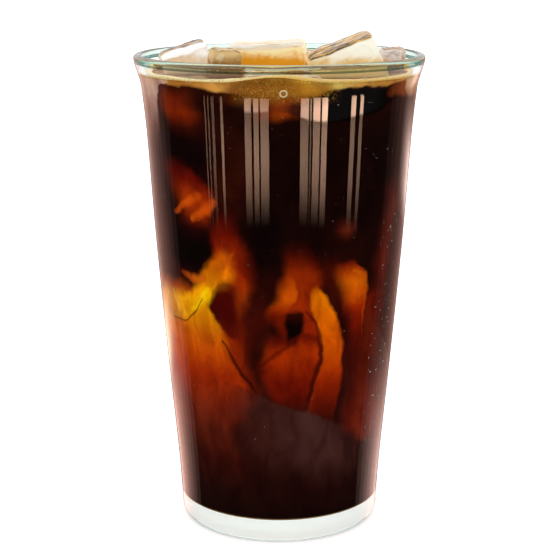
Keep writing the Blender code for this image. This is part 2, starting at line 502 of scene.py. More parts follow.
swirls = {
    # shares of the height, and the colours there
    "ground": [
        (0.05, (20, 5, 3)), (0.12, (34, 9, 5)), (0.2, (40, 10, 6)), (0.3, (44, 12, 8)), (0.4, (50, 12, 4)),
        (0.55, (34, 6, 2)), (0.68, (20, 3, 1)), (0.8, (17, 3, 1)), (0.88, (24, 5, 2)), (0.95, (46, 12, 4))],
    "heelFrom": 7.2,
    "heelSoft": 0.25,
    "heelShare": 0.45,
    "heelLightPaint": (190, 146, 96),
    "grainAt": 3,
    "grainReach": (24.0, 14.0),
    "grainRise": (136.0, 140.0),
    "grainPaint": (172, 124, 48),
    "smoke": ((0.68, 0.52, 0.5), (1.32, 1.36, 1.34)),
    "warpSize": 9.0,
    "warp": 3.0,
    "wispSize": 2.4,
    "wisp": 1.5,
    "bodyShare": 0.5,
    "glowShare": 0.52,
}
# the bright bands, the glows, embers, flames, tongues, ribbons and columns, are painted light shining through
# the ice and the coffee
# bands, from the lowest coat to the highest: what each runs along, the softness of its two edges, and
# rows of where along, its edges there (azimuth or height), colour, and strength where it isn't 1
bands = {
    "left haze": ("height", (6, 7), (150, -104, -58, 70, 18, 10, 0), (136, -104, -62, 76, 22, 12, 0.7),
        (124, -104, -64, 60, 22, 16, 0.7), (100, -104, -62, 64, 16, 10, 0.7),
        (84, -104, -58, 70, 18, 8, 0.6), (78, -104, -56, 90, 30, 8, 0)),
    "left glow": ("height", (9, 3.4), (82.5, -100, -48, 140, 60, 14, 0),
        (79.5, -100, -43, 176, 70, 8, 0.75), (76, -100, -37, 234, 158, 14),
        (72, -100, -33, 234, 150, 8), (66, -100, -23, 212, 102, 4), (60, -100, -19, 194, 74, 3),
        (54, -100, -15, 164, 46, 5), (49, -100, -12.5, 148, 42, 9, 0.95),
        (43, -98, -16, 120, 36, 15, 0.9), (35, -96, -27, 98, 32, 15, 0.8),
        (26, -94, -20, 64, 14, 6, 0.6), (14, -92, -26, 44, 10, 5, 0)),
    "left column": ("height", (2.2, 3.2), (109, -26, -22, 60, 8, 3, 0),
        (103, -29, -22, 98, 14, 2, 0.75), (98, -31, -20, 112, 18, 2, 0.9), (92, -32, -15, 142, 36, 3),
        (85, -32, -12, 150, 38, 2), (79, -32, -15, 176, 62, 3), (73, -30, -18, 154, 46, 2, 0.95),
        (66, -28, -17, 134, 30, 2, 0.9), (60, -26, -16, 140, 34, 2, 0.9),
        (53, -18, -12.5, 100, 20, 2, 0.7), (47, -15, -11, 80, 14, 3, 0)),
    "brown veil": ("height", (5, 5), (134, -34, -18, 70, 22, 6, 0), (128, -36, -16, 58, 18, 5, 0.5),
        (112, -32, -12, 62, 18, 5, 0.6), (100, -28, -12, 60, 16, 4, 0)),
    "upper ember": ("height", (4, 4), (142, -60, -40, 110, 30, 5, 0), (137, -57, -41, 140, 44, 8, 0.75),
        (133, -55, -38, 150, 44, 6, 0.85), (129, -52, -36, 84, 20, 5, 0.6),
        (122, -50, -30, 60, 16, 5, 0)),
    "dark ice left": ("height", (4, 7), (131, -62, -32, 30, 5, 3, 0), (125, -62, -28, 16, 2, 2, 0.9),
        (119, -62, -26, 14, 2, 2, 0.9), (114, -58, -30, 40, 6, 3, 0)),
    "ember patch": ("height", (5, 2.4), (121, -58, -50, 70, 8, 2, 0), (117, -58, -44, 90, 10, 2, 0.7),
        (113.5, -54, -36, 112, 18, 3, 0.9), (110, -52, -31, 150, 42, 4), (107, -50, -31, 162, 50, 4),
        (103, -47, -33, 150, 42, 3, 0.9), (99, -45, -34, 130, 34, 3, 0.8),
        (95.5, -42, -34, 100, 18, 3, 0.6), (92.5, -40, -36, 60, 10, 3, 0)),
    "dark hollow": ("height", (3, 1.6), (103, -52, -38, 40, 6, 2, 0), (98.5, -56, -32.5, 24, 3, 2, 0.9),
        (94, -59, -31.6, 11, 2, 1), (90, -59, -31, 10, 2, 1), (87.3, -57, -34, 14, 2, 1),
        (85.4, -53, -37.5, 24, 4, 2), (84.2, -49, -41, 60, 12, 3, 0.6), (83, -46, -43, 120, 40, 6, 0)),
    "ribbon glow": ("height", (2.6, 2.6), (94.5, -27, -22, 140, 50, 4, 0),
        (90.5, -31, -22, 220, 100, 3, 0.9), (86, -37, -22.5, 246, 132, 2), (81, -43, -26, 244, 148, 2),
        (76, -52, -30, 255, 184, 5), (71, -49, -32, 236, 148, 4, 0.95), (65, -42, -32, 212, 104, 3, 0)),
    "far right glow": ("height", (4, 4), (115, 58, 66, 70, 14, 4, 0), (108, 57, 66, 86, 23, 8, 0.8),
        (98, 55, 64, 96, 27, 9, 0.8), (84, 52, 62, 104, 22, 6, 0.7), (74, 53, 60, 90, 16, 4, 0)),
    "red shade": ("height", (1.2, 3.2), (84.5, -29, -24, 96, 24, 3, 0),
        (82, -31, -20.5, 84, 14, 3, 0.8), (79, -34.2, -19, 72, 7, 2), (75.5, -36.4, -18.5, 66, 4, 2),
        (72, -33.5, -19, 70, 6, 2), (69, -29, -19.4, 80, 12, 3, 0.95),
        (66.8, -24.5, -20.4, 84, 14, 3, 0.8), (65.4, -22.4, -21.4, 84, 14, 3, 0)),
    "centre dark": ("height", (4, 4.5), (110, -14, 3, 20, 3, 2, 0), (101, -14, 4, 11, 2, 2, 0.85),
        (90, -14, 3, 14, 2, 2, 0.95), (82, -13, -4, 40, 6, 2, 0.95), (72, -15, -7, 70, 11, 4, 0.95),
        (62, -16, -11, 44, 5, 2, 0.9), (50, -14, -11, 40, 6, 3, 0)),
    "amber brow": ("height", (2.4, 2.6), (97, 3, 12, 50, 9, 2, 0), (92, 3, 15.5, 82, 15, 2, 0.8),
        (87, 3.5, 19, 140, 38, 2), (82, 5, 20, 152, 44, 2), (77, 2.5, 19.2, 156, 44, 3),
        (72, -1, 19.6, 150, 38, 3), (67, 2, 20.5, 152, 36, 3, 0.9), (61, 5, 20, 140, 32, 3, 0)),
    "wedge": ("height", (2.2, 0.8), (88.5, 3.2, 4.8, 150, 42, 3, 0), (85, 1.6, 6.3, 176, 60, 2, 0.8),
        (81.5, 0.6, 7.4, 200, 80, 2), (78.5, 0.2, 6.8, 206, 84, 2), (76, -3.8, 4.6, 176, 56, 2, 0.9),
        (73.6, -5.6, 3, 140, 34, 2, 0.75), (70, -7, -1, 100, 18, 2, 0)),
    "lip glow": ("height", (2.6, 1.2), (69, -4, 15, 100, 18, 2, 0), (66, -6, 18.2, 120, 26, 1, 0.8),
        (64, -6, 19.6, 160, 46, 1), (61, -6.5, 20.4, 168, 48, 1), (57.5, -8, 19.4, 146, 36, 1),
        (53, -7, 17.6, 116, 21, 2), (48.5, -5, 15.6, 106, 18, 2, 0.9), (44, -2, 14, 80, 13, 4, 0.6),
        (40, 0, 12, 56, 9, 5, 0)),
    "eye": ("height", (1.4, 1), (76, 4.4, 8, 60, 10, 1, 0), (73.8, 2.8, 11, 24, 3, 0, 0.95),
        (70.4, 2.4, 11.8, 10, 1, 1), (67.6, 2.6, 10.8, 10, 1, 1), (65.8, 3.6, 9.2, 20, 3, 1, 0.8),
        (64.4, 5, 8.2, 60, 9, 0, 0)),
    "gap shade": ("height", (2.4, 3.4), (94, 20, 30, 50, 8, 2, 0), (87, 21, 30, 72, 13, 2, 0.9),
        (79, 23, 32, 56, 8, 2, 0.95), (71, 28, 36, 44, 7, 2, 0.95), (63, 31, 39, 52, 9, 3, 0.9),
        (54, 32, 44, 58, 11, 5, 0.8), (44, 30, 50, 50, 12, 8, 0)),
    "right halo": ("height", (3, 6), (83, 46, 58, 40, 4, 2, 0), (77, 45, 58, 108, 20, 4, 0.9),
        (70, 44, 58, 92, 22, 5, 0.9), (62, 43, 58, 100, 26, 7, 0.9), (50, 41, 60, 92, 22, 8, 0.8),
        (40, 44, 62, 76, 22, 12, 0)),
    "small glow": ("height", (3, 3), (104, 27, 34, 60, 14, 6, 0), (99, 28, 35, 100, 32, 14, 0.8),
        (94.5, 28, 34, 60, 14, 6, 0)),
    "right flame": ("height", (3.2, 0.9), (90.4, 31, 36, 110, 24, 4, 0),
        (88.4, 29.5, 40, 140, 38, 3, 0.85), (85.8, 29.5, 43.4, 184, 70, 3),
        (82.4, 31, 45.4, 222, 106, 2), (79, 32.5, 46, 216, 90, 2), (75, 34, 45.8, 164, 42, 2),
        (70.5, 36, 45.6, 118, 20, 2, 0.95), (65, 38, 45.2, 96, 14, 1, 0.85),
        (58, 39, 44.6, 76, 10, 2, 0.6), (50, 40, 44, 60, 10, 4, 0)),
    "main tongue": ("height", (0.8, 0.9), (84, 17.2, 17.8, 170, 66, 2, 0),
        (82.2, 15.8, 19, 206, 96, 2, 0.85), (79.6, 14.8, 22, 240, 130, 0),
        (75, 15.4, 25.8, 236, 118, 0), (70, 18.6, 29.2, 220, 98, 0), (65, 21, 31.8, 214, 88, 0),
        (60, 22.2, 33.2, 188, 68, 0), (55, 19.4, 33.2, 166, 48, 1), (50, 17, 32.4, 144, 36, 2),
        (45, 15.6, 31, 118, 27, 3, 0.95), (40.5, 14.6, 30, 84, 18, 4, 0.7), (36.5, 14, 29, 60, 14, 6, 0)),
    "purple depth": ("azimuth", (7, 0.8), (-30, 30, 52, 70, 24, 16, 0),
        (-17, 28, 50.8, 64, 26, 20, 0.6), (-5, 27, 46.6, 66, 32, 26, 0.85),
        (5, 26, 44.4, 66, 34, 30, 0.9), (15, 25, 42.4, 68, 38, 34, 0.9), (25, 23, 40, 68, 38, 34, 0.9),
        (33, 22, 38, 64, 34, 30, 0.9), (50, 22, 36, 54, 26, 22, 0.8), (70, 22, 36, 48, 20, 16, 0.6),
        (84, 24, 40, 48, 18, 12, 0)),
    "right corner": ("azimuth", (2.2, 6), (32, 36.6, 46, 90, 20, 8, 0), (42, 34, 47, 108, 28, 12, 0.75),
        (54, 31, 49, 122, 40, 22, 0.8), (64, 31, 50, 112, 38, 26, 0.7), (74, 34, 50, 84, 28, 18, 0.5),
        (82, 40, 50, 60, 20, 14, 0)),
    "top gold": ("azimuth", (0.6, 0.5), (-90, 141.8, 146, 190, 150, 110, 0),
        (-72, 142, 146, 150, 100, 54, 0.7), (-58, 141.8, 146, 158, 98, 38, 0.95),
        (-40, 141.4, 146, 196, 130, 52, 0.95), (-24, 140.6, 146, 216, 152, 70, 0.95),
        (-8, 139.4, 146, 212, 140, 48, 0.95), (6, 139.8, 146, 240, 178, 54, 0.95),
        (20, 140.8, 146, 255, 232, 124, 0.95), (34, 141.6, 146, 226, 164, 74, 0.95),
        (50, 141.8, 146, 216, 156, 68, 0.95), (66, 141.8, 146, 232, 162, 82, 0.9),
        (80, 141.8, 146, 210, 150, 90, 0)),
    "top amber": ("azimuth", (1.6, 2.2), (-26, 137, 143, 60, 22, 5, 0),
        (-19, 136.6, 143.6, 96, 44, 8, 0.7), (-10, 136.8, 145, 140, 84, 20, 0.9),
        (0, 137.2, 145.4, 150, 92, 24, 0.95), (10, 138, 144, 186, 122, 28, 0.95),
        (19, 138.2, 143.5, 168, 104, 22, 0.9), (26, 139, 143, 90, 46, 10, 0)),
    "top glow": ("azimuth", (1.6, 1.6), (-12, 133.5, 138.5, 90, 34, 6, 0),
        (-5, 132.5, 138.5, 126, 48, 6, 0.65), (2, 133, 138.5, 160, 62, 6, 0.85),
        (9, 134, 138.6, 150, 58, 6, 0.8), (18, 134, 138, 80, 26, 4, 0)),
    "dark brow": ("azimuth", (0.5, 0.9), (-2, 135.2, 136.4, 20, 4, 2, 0),
        (6, 134, 136.8, 14, 3, 2, 0.75), (14, 132.4, 138.4, 8, 1, 1, 0.9), (20, 131.6, 140.4, 5, 0, 0),
        (33, 132, 141, 4, 0, 0), (45, 134, 141, 4, 0, 0), (55, 136, 141.2, 10, 2, 1, 0.95),
        (64, 137.4, 141.6, 40, 12, 4, 0.7), (70, 138, 142, 60, 24, 8, 0)),
    "brow ember": ("azimuth", (0.8, 0.8), (49, 138, 141.4, 90, 36, 8, 0),
        (54, 137.4, 141.6, 120, 50, 9, 0.8), (61, 137.4, 142.2, 134, 60, 12, 0.9),
        (66, 138, 142.4, 150, 84, 26, 0.7), (69, 139, 142, 150, 84, 26, 0)),
    # painted light: the two shoulders are pale veils along the drink's edges near the top
    "left shoulder": ("height", (0.8, 0.7), (150, -100, -50, 208, 168, 142, 0),
        (142.4, -100, -50.5, 206, 164, 136), (140.8, -100, -57.5, 196, 158, 138),
        (138, -100, -60.6, 190, 154, 138), (134, -100, -61.8, 166, 128, 114, 0.9),
        (129, -100, -62.4, 140, 100, 88, 0.6), (122, -100, -63, 100, 60, 50, 0)),
    "right shoulder": ("height", (0.7, 0.8), (150, 62, 100, 224, 196, 160, 0),
        (142, 62.5, 100, 222, 184, 140), (139.6, 64.2, 100, 206, 156, 112),
        (138, 66, 100, 170, 120, 88, 0.8), (136.4, 69, 100, 110, 70, 52, 0)),
    # the half that faces away
    "far glow": ("height", (6, 5), (92, 104, 122, 120, 40, 5, 0), (82, 100, 126, 168, 74, 6, 0.9),
        (72, 98, 132, 204, 106, 6), (62, 98, 140, 184, 80, 4), (50, 100, 146, 140, 48, 6, 0.9),
        (36, 104, 146, 90, 26, 8, 0.6), (22, 106, 140, 50, 14, 6, 0)),
    "far hollow": ("height", (2.6, 2), (104, 118, 136, 20, 4, 2, 0), (97, 114, 141, 10, 2, 1, 0.95),
        (90, 113, 142, 9, 2, 1), (85, 118, 138, 20, 4, 2, 0.9), (82, 124, 132, 80, 24, 4, 0)),
    "far ribbon": ("height", (0.9, 1.4), (99, 148, 152, 150, 54, 4, 0), (94, 144, 153, 196, 86, 6, 0.9),
        (86, 137, 149, 226, 124, 4), (79, 131, 144, 240, 160, 4), (73, 124, 139, 236, 146, 6, 0.95),
        (68, 116, 132, 216, 116, 8, 0.7), (63, 112, 126, 190, 90, 8, 0)),
    "far ember": ("height", (3, 2.4), (124, 136, 156, 70, 14, 3, 0), (117, 132, 160, 128, 34, 5, 0.9),
        (111, 134, 162, 180, 70, 8), (105, 140, 160, 164, 60, 6, 0.9), (99, 146, 156, 80, 20, 3, 0)),
    "far tongue": ("height", (1, 1.2), (94, -138, -136, 150, 54, 3, 0),
        (89, -142, -133, 214, 106, 2, 0.95), (81, -146, -132, 222, 110, 0),
        (72, -152, -136, 206, 84, 0), (62, -154, -138, 176, 58, 1), (52, -152, -134, 134, 34, 3, 0.95),
        (42, -148, -132, 80, 18, 4, 0)),
    "far flame": ("height", (3, 0.8), (88, -122, -112, 120, 40, 4, 0),
        (84, -124, -108, 206, 108, 3, 0.95), (77, -122, -107, 200, 90, 2),
        (68, -120, -107, 150, 46, 2, 0.95), (56, -118, -108, 80, 14, 3, 0)),
    "far shade": ("height", (4, 4), (126, -170, -146, 20, 4, 2, 0), (112, -172, -140, 10, 2, 1, 0.9),
        (98, -170, -142, 12, 3, 2, 0.9), (84, -168, -156, 26, 6, 3, 0)),
    "far purple": ("azimuth", (7, 0.9), (-176, 26, 46, 60, 28, 22, 0), (-164, 24, 44, 66, 34, 30, 0.8),
        (-144, 22, 38, 66, 36, 32, 0.9), (-124, 22, 34, 56, 28, 24, 0.8), (-104, 22, 34, 46, 18, 12, 0)),
}
# strokes, the bright ones painted light like the bands: softness, strength, then points of azimuth, height,
# half width, colour
strokes = {
    "light ribbon": (0.85, 0.95, (-21, 92.4, 0.7, 176, 70, 6), (-26, 89.4, 1.7, 206, 96, 6),
        (-31, 86, 2.4, 226, 122, 4), (-35.4, 81.6, 3, 238, 152, 4), (-38.4, 77.6, 2.6, 253, 196, 0),
        (-43.5, 74.6, 1.9, 246, 182, 4), (-50, 71.6, 1.4, 232, 160, 10), (-58, 70, 1.2, 226, 156, 26),
        (-68, 69.6, 1.6, 216, 146, 50)),
    "ribbon core": (0.9, 0.8, (-36.4, 80.4, 1, 255, 206, 4), (-39.5, 76.4, 1.2, 255, 214, 10),
        (-46, 73.4, 0.7, 250, 196, 10)),
    "branch": (0.8, 0.9, (-51, 83.8, 0.8, 120, 40, 8), (-45, 83, 1.2, 186, 84, 14),
        (-38, 84.2, 1.5, 214, 106, 12)),
    "curl": (0.8, 0.7, (-62, 78, 0.5, 236, 190, 90), (-59, 74, 0.6, 240, 192, 80),
        (-56, 71.4, 0.5, 230, 170, 50)),
    "ember streak": (0.8, 0.85, (-53, 103, 0.8, 190, 76, 8), (-46, 105.6, 1.4, 200, 78, 8),
        (-38, 109.2, 1.2, 196, 72, 8)),
    "ember streak low": (0.8, 0.95, (-42, 101.4, 1, 196, 80, 8), (-35.6, 104.4, 1.9, 206, 80, 8),
        (-31, 107.8, 1.4, 200, 74, 8)),
    "crack": (0.9, 0.75, (-39.5, 76.6, 0.28, 120, 52, 0), (-44, 72.6, 0.36, 84, 32, 0),
        (-47, 70.8, 0.4, 72, 26, 0), (-50, 69.4, 0.4, 70, 24, 0), (-58, 68.4, 0.32, 110, 50, 4),
        (-64, 69, 0.3, 130, 66, 10)),
    "dark edge": (0.9, 0.8, (-29, 65, 0.35, 90, 26, 2), (-25.5, 61, 0.6, 44, 9, 2),
        (-20, 56, 0.7, 34, 7, 2), (-15, 52.6, 0.7, 34, 7, 2), (-11.5, 49.6, 0.5, 50, 10, 2)),
    "red arc": (0.9, 0.6, (-9, 58, 0.6, 80, 9, 1), (-1, 62.2, 1, 74, 8, 0), (5.5, 65.6, 1, 84, 12, 0),
        (12, 67.6, 0.9, 90, 14, 0), (18.6, 66.6, 0.7, 96, 18, 0)),
    "tongue line": (0.8, 0.7, (12, 74.5, 0.4, 84, 18, 2), (17.2, 71.6, 0.6, 80, 16, 2),
        (20.4, 66.8, 0.75, 72, 12, 1), (20.9, 62.4, 0.8, 66, 10, 1), (19.2, 57.4, 0.9, 46, 6, 1),
        (16.4, 52.6, 1, 36, 5, 1), (15.2, 46.4, 0.8, 46, 8, 2)),
    "flame rim": (0.95, 0.5, (38, 86.6, 0.5, 206, 96, 10), (43.6, 84.6, 0.7, 220, 112, 12),
        (45.6, 77, 0.5, 196, 80, 8), (45.2, 66, 0.35, 140, 40, 6)),
    "far crack": (0.9, 0.75, (136, 74, 0.3, 96, 40, 0), (130, 70, 0.4, 70, 24, 0),
        (120, 68.4, 0.35, 96, 40, 4)),
    "far line": (0.8, 0.85, (-134, 78, 0.5, 80, 16, 2), (-134, 68, 0.8, 60, 9, 1),
        (-130, 56, 0.9, 40, 6, 1)),
}


def lineThrough(azimuth, height, angle):
    # weights for across, height and 1 that give how far a point lies from here along this angle
    x, y = math.cos(angle), math.sin(angle)
    return (x, y, -x * azimuth * acrossPerDegree - y * height)


def strokePart(web, at, canvas, soft, strength, *points):
    nearest, colour = 0.0, tone(*points[0][3:])
    for start, end in zip(points, points[1:]):
        a, b = (Vector((p[0] * acrossPerDegree, p[1])) for p in (start, end))
        length, angle = (b - a).length, math.atan2(b.y - a.y, b.x - a.x)
        along = web.vector("DOT_PRODUCT", at, lineThrough(*start[:2], angle))
        aside = web.vector("DOT_PRODUCT", at, lineThrough(*start[:2], angle + math.pi / 2))
        share = web.node("ShaderNodeMapRange", {"Value": along, "From Min": 0.0, "From Max": length})
        past = web.maths("MULTIPLY_ADD", share, -length, along)
        away = web.maths("SQRT", web.maths("MULTIPLY_ADD", aside, aside, past * past))
        away = away / web.maths("MULTIPLY_ADD", share, end[2] - start[2], start[2])
        nearest = web.maths("MAXIMUM", nearest, 2 - away)
        colour = web.mix(share, colour, tone(*end[3:]))
    mask = web.fade(nearest, 1 - soft * 0.6, 1 + soft, 0.0, strength)
    return web.mix(mask, canvas, colour)


def withinSector(low, high, azimuths, soft):
    return min(azimuths) - soft < high and max(azimuths) + soft > low


def sideMaterial(low, high):  # one sector of the side, with only the marks that touch it
    web = newMaterial("black coffee behind the wall %d to %d" % (low, high))
    place = web.place()
    flat, azimuth, height = flatPlace(web, place)
    half = (0.5, 0.5, 0.5)
    warp = web.vector("SUBTRACT", web.noise(place, 1 / swirls["warpSize"], 1.0).pick("Color"), half)
    wisp = web.vector("SUBTRACT", web.noise(place, 1 / swirls["wispSize"], 3.0).pick("Color"), half)
    shove = web.vector("ADD", web.scaled(warp, swirls["warp"]), web.scaled(wisp, swirls["wisp"]))
    at = web.vector("ADD", flat, web.vector("MULTIPLY", shove, (1, 1, 0)))
    stops = [(share, tone(*colour)) for share, colour in swirls["ground"]]
    canvas = web.node("ShaderNodeValToRGB", {0: height / topOfScale}, stops=stops)
    scales = scaleShares(web, at)
    for along, soft, *rows in bands.values():
        azimuths = [a for row in rows for a in (row[1:3] if along == "height" else row[:1])]
        if withinSector(low, high, azimuths, max(soft) / acrossPerDegree + 5):
            mask, paint = bandMask(web, scales, along, soft, *rows)
            canvas = web.mix(mask, canvas, paint)
    for soft, strength, *points in strokes.values():
        if withinSector(low, high, [point[0] for point in points], 8):
            canvas = strokePart(web, at, canvas, soft, strength, *points)
    smoke = web.noise(web.vector("MULTIPLY", at, (0.15, 0.08, 0)), 1.0, 3.5, 0.55, 0.5)
    canvas = web.mix(1.0, canvas, web.mix(web.fade(smoke, 0.25, 0.75), *swirls["smoke"]), "MULTIPLY")
    # painted light: the foot of the drink is washed pale cream
    heel = web.fade(height, swirls["heelFrom"] + swirls["heelSoft"], swirls["heelFrom"])
    canvas = web.mix(heel * swirls["heelShare"], canvas, tone(*swirls["heelLightPaint"]))
    # grains of froth just under the surface in front
    aside = web.maths("ABSOLUTE", azimuth - swirls["grainAt"])
    grains = web.fade(height, *swirls["grainRise"]) * web.fade(aside, *swirls["grainReach"])
    grains = grains * web.fade(web.noise(place, 2.2, 1.0), 0.5, 0.62)
    canvas = web.mix(grains, canvas, tone(*swirls["grainPaint"]))
    return finished(web, web.coat(canvas, swirls["bodyShare"], swirls["glowShare"], {
        "Roughness": 0.5, "Specular IOR Level": 0.0}))


# ---- the drink's open surface and the hollows that the ice lies in

topLooks = {
    "dark": (34, 12, 5),
    "darkBelow": 128.0,
    "amber": (158, 94, 24),
    "amberClouds": (0.3, 0.7),
    "cream": (222, 180, 106),
    "creamClouds": (0.56, 0.7),
    "creamFrom": (141.6, 142.2),
    "mostCream": 0.8,
    "roughness": 0.06,
    "creamRoughness": 0.6,
    "glowShare": 0.34,
}


def topMaterial():
    web = newMaterial("coffee surface")
    place = web.place()
    height = web.parts(place).pick("Z")
    cloud = web.noise(place, 0.16, 3.0)
    # painted light: the coffee turns amber only near its surface, the hollows' walls too, and stays darker
    # further down
    litNearTop = web.fade(height, topLooks["darkBelow"], drink["level"])
    amber = web.fade(cloud, *topLooks["amberClouds"])
    canvas = web.mix(litNearTop * amber, tone(*topLooks["dark"]), tone(*topLooks["amber"]))
    froth = web.fade(web.noise(place, 0.28, 4.0, 0.62), *topLooks["creamClouds"])
    froth = web.maths("MINIMUM", froth * web.fade(height, *topLooks["creamFrom"]), topLooks["mostCream"])
    canvas = web.mix(froth, canvas, tone(*topLooks["cream"]))
    rough = web.fade(froth, 0.0, 1.0, topLooks["roughness"], topLooks["creamRoughness"])
    bump = web.bump(0.25, 0.3, web.noise(place, 0.7))
    return finished(web, web.coat(canvas, 1.0, topLooks["glowShare"], {
        "Roughness": rough, "IOR": 1.33, "Normal": bump}))


def swellAt(x, y):
    across = (x - drink["swellAt"][0]) / drink["swellReach"][0]
    along = (y - drink["swellAt"][1]) / drink["swellReach"][1]
    return drink["swell"] * math.exp(-across ** 2 - along ** 2)


def surfaceHeight(radius, edge):
    return drink["level"] + drink["climb"] * math.exp(-max(edge - radius, 0.0) / drink["climbReach"])


def coffeeProfile():
    t, d = tumbler, drink
    edge = innerRadius(d["level"] + d["climb"]) + d["intoWall"]
    radii = [edge * math.sin(math.pi / 2 * share) for share in spread(0.0, 0.86, 22)]
    radii += spread(radii[-1], edge, 16)[1:]
    surface = [(r, surfaceHeight(r, edge)) for r in radii]
    cornerTop = t["floor"] + t["corner"]
    heights = [d["level"], *reversed(spread(cornerTop, d["level"] - 1.0, 60))]
    side = [(innerRadius(z) + d["intoWall"], z) for z in heights]
    # the drink wets the rounded corner, and leaves a thin gap over the flat floor, which mirrors the light
    foot, floor = side[-1][0], t["floor"] + d["overFloor"]
    reach = t["corner"] + d["intoWall"]
    middle = (foot - reach, cornerTop)
    for angle in spread(0.0, math.radians(d["footTurn"]), 9)[1:]:
        side.append((middle[0] + math.cos(angle) * reach, middle[1] - math.sin(angle) * reach))
    side.append((side[-1][0] - 0.25, floor))
    return surface + side + [(20.0, floor), (10.0, floor), (0.0, floor)]


iceBlocks = {
    "ice_left": ((-27.4, 4.5, 140.0), (7.6, 8.8, 9.8), (5, -18, 6)),
    "ice_chip": ((-16.7, -9.5, 142.6), (4.5, 4.4, 7.4), (4, 3, 14)),
    "ice_middle": ((-3.6, 6.5, 140.0), (12.2, 9.6, 10.6), (3, -3, -4)),
    "ice_right": ((21.3, -7.0, 141.7), (10.6, 8.4, 10.4), (4, -21, 3)),
    "ice_edge": ((35.4, 6.0, 143.6), (3.6, 3.5, 5.6), (2, -5, 8)),
    "ice_front": ((0.5, -27.3, 133.4), (11.5, 9.4, 10.8), (-3, 2, 3)),
    "ice_back_right": ((14.0, 24.6, 135.8), (10.6, 8.6, 9.6), (6, 5, -22)),
    "ice_back_left": ((-13.2, 26.2, 134.8), (10.2, 8.2, 9.8), (-5, -4, 22)),
}
iceForm = {
    "squareness": 12.0,
    "cuts": 17,
    "melt": 0.45,
    "meltWaves": 2.3,
    "dent": 0.16,
    "dentWaves": 7.0,
    "dentMiddle": 0.2,
}


def iceMesh(name, centre, halfSizes, turns, grow=0.0):
    form = iceForm
    shape = bmesh.new()
    bmesh.ops.create_cube(shape, size=2.0)
    bmesh.ops.subdivide_edges(shape, edges=shape.edges[:], cuts=form["cuts"], use_grid_fill=True)
    offset = Vector(centre)
    turn = Euler([math.radians(a) for a in turns]).to_matrix()
    for vertex in shape.verts:
        way = Vector(math.tan(c * math.pi / 4) for c in vertex.co)
        unit = way / sum(abs(c) ** form["squareness"] for c in way) ** (1 / form["squareness"])
        melt = noise.noise(unit * form["meltWaves"] + offset) * form["melt"]
        melt += (noise.noise(unit * form["dentWaves"] + offset) - form["dentMiddle"]) * form["dent"]
        local = Vector(c * (h + grow + melt) for c, h in zip(unit, halfSizes))
        vertex.co = (turn @ local + offset) * mm
    bmesh.ops.recalc_face_normals(shape, faces=shape.faces[:])
    return meshFrom(shape, name)


def coffeePiece():
    piece = turned("coffee_body", coffeeProfile(), None)
    for vertex in piece.data.vertices:
        if vertex.co.z >= (drink["level"] - 0.01) * mm:
            x, y, z = vertex.co / mm
            raised = z + swellAt(x, y)
            wider = 1.0
            if math.hypot(x, y) > innerRadius(z) - drink["nearWall"]:
                wider += (innerRadius(raised) - innerRadius(z)) / math.hypot(x, y)
            vertex.co = Vector((x * wider, y * wider, raised)) * mm
    cutters = bpy.data.collections.new("hollow cutters")
    bpy.context.scene.collection.children.link(cutters)
    for name, (centre, halfSizes, turns) in iceBlocks.items():
        solid = iceMesh(name, centre, halfSizes, turns, -drink["iceBite"])
        cutters.objects.link(bpy.data.objects.new(name + "_cutter", solid))
    cut = piece.modifiers.new("Hollows", "BOOLEAN")
    cut.operation, cut.solver = "DIFFERENCE", "EXACT"
    cut.operand_type, cut.collection = "COLLECTION", cutters
    evaluatedMesh(piece)
    for cutter in list(cutters.objects):
        bpy.data.objects.remove(cutter)
    bpy.data.collections.remove(cutters)
    mesh = piece.data
    mesh.materials.clear()
    mesh.materials.append(topMaterial())
    for low, high in drink["sectors"]:
        mesh.materials.append(sideMaterial(low, high))
    for face in mesh.polygons:
        x, y, z = face.center / mm
        besideWall = math.hypot(x, y) > innerRadius(z) - drink["nearWall"]
        if besideWall and face.normal.z < drink["flatFrom"] or z < drink["sideBelow"]:
            azimuth = math.degrees(math.atan2(x, -y))
            face.material_index = 1 + sum(azimuth > high for low, high in drink["sectors"])
    mesh.shade_smooth()
    return piece


coffee = coffeePiece()
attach(coffee, "root")
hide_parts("coffee")
print("drink:", len(coffee.data.polygons), "faces")


# ---- ice

iceLooks = {
    "bend": 1.31,
    "roughness": 0.02,
    "clear": (0.99, 0.985, 0.97),
    "sunk": (120, 66, 16),
    "sunkBelow": (143.0, 141.6),
    "sunkCover": 0.9,
    "sideLight": (150.0, 153.4),
    "grain": (0.12, 0.5, 0.5),
    "stripeEdge": (-0.06, 0.05),
    "stripesReach": (-1.5, 3.0),
    "upperFaces": (0.55, 0.8),
    "milkyRoughness": 0.12,
    "bodyShare": 0.42,
    "glowShare": 0.66,
    # the ice's paint is partly painted light: the stripes on the top faces are painted reflections of the
    # coffee, the sides turn lighter towards the top, and the milky paint glows
    # top face: dark stripes, light stripes, share of dark, cover; other faces: low, high, cover;
    # and how far back on the top face the stripes begin
    "faces": {
        "ice_left": ((50, 28, 6), (206, 150, 76), 0.54, 0.9, (226, 196, 152), (255, 253, 248), 0.66, -0.5),
        "ice_chip": ((120, 88, 40), (216, 182, 120), 0.45, 0.65, (140, 100, 48), (224, 194, 134), 0.64, -99),
        "ice_middle": (
            (246, 204, 110), (255, 248, 222), 0.4, 0.55, (226, 150, 30), (255, 240, 178), 0.78, -99),
        "ice_right": ((44, 26, 4), (232, 172, 60), 0.52, 0.86, (226, 188, 112), (255, 251, 232), 0.74, -99),
        "ice_edge": ((180, 150, 138), (232, 216, 206), 0.5, 0.5, (180, 146, 116), (236, 216, 208), 0.5, -99),
    },
    "hidden": ((206, 158, 92), (250, 236, 206), 0.5, 0.6, (180, 130, 60), (250, 236, 200), 0.35, -99),
}


